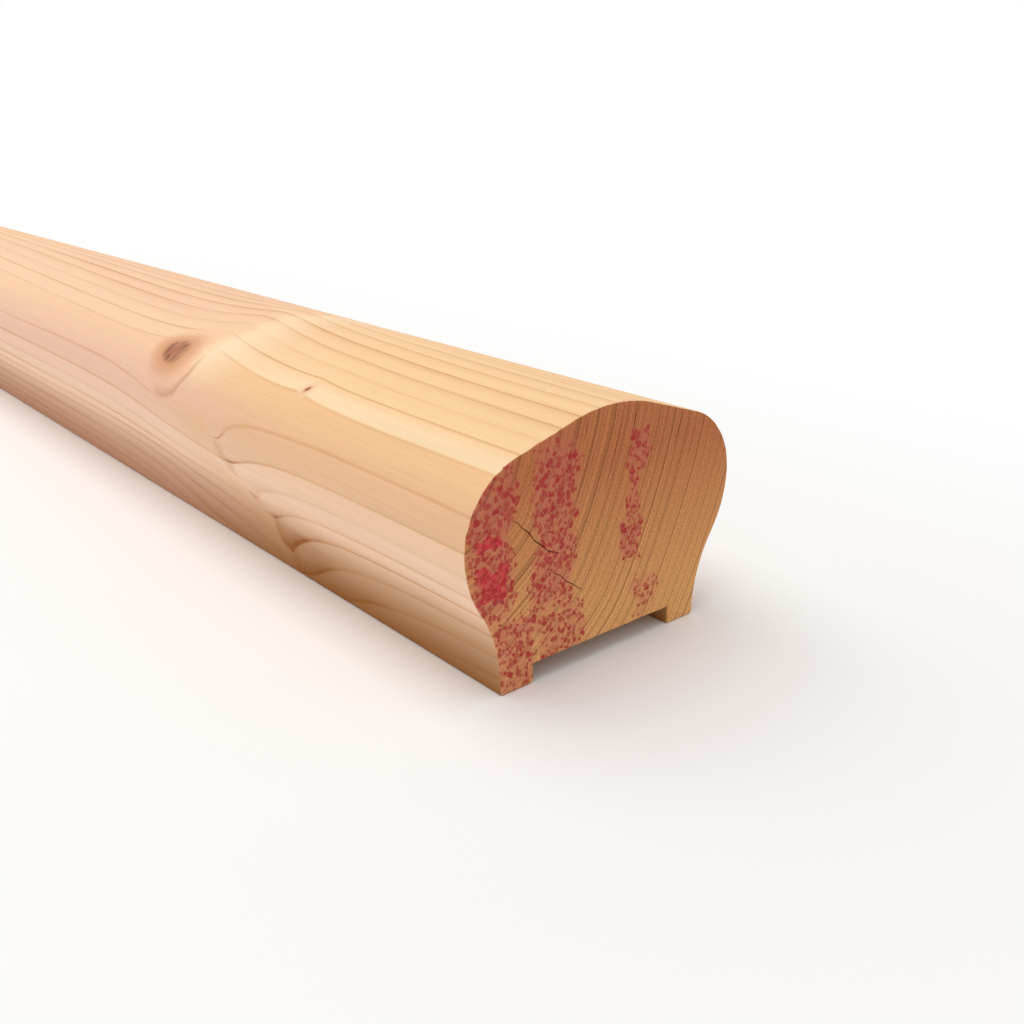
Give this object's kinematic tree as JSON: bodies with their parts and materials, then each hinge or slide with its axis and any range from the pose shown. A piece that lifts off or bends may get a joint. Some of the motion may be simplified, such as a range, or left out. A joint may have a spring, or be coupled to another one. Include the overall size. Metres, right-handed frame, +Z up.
{
  "type": "stair handrail length",
  "caption": "Straight length of moulded softwood stair handrail with a rounded top, tucked-in flanks and a shallow square groove along the underside for balusters.",
  "frame": {"origin": "middle of the base, on the plane of the two feet", "axes": "+X along the length towards the end with the paint marks, +Y across, +Z up out of the moulded top"},
  "size_m": [2.4, 0.0616, 0.0445],
  "materials": {
    "pine": "planed, unfinished"
  },
  "bodies": {
    "root": {"handrail": "pine"}
  },
  "joints": []
}
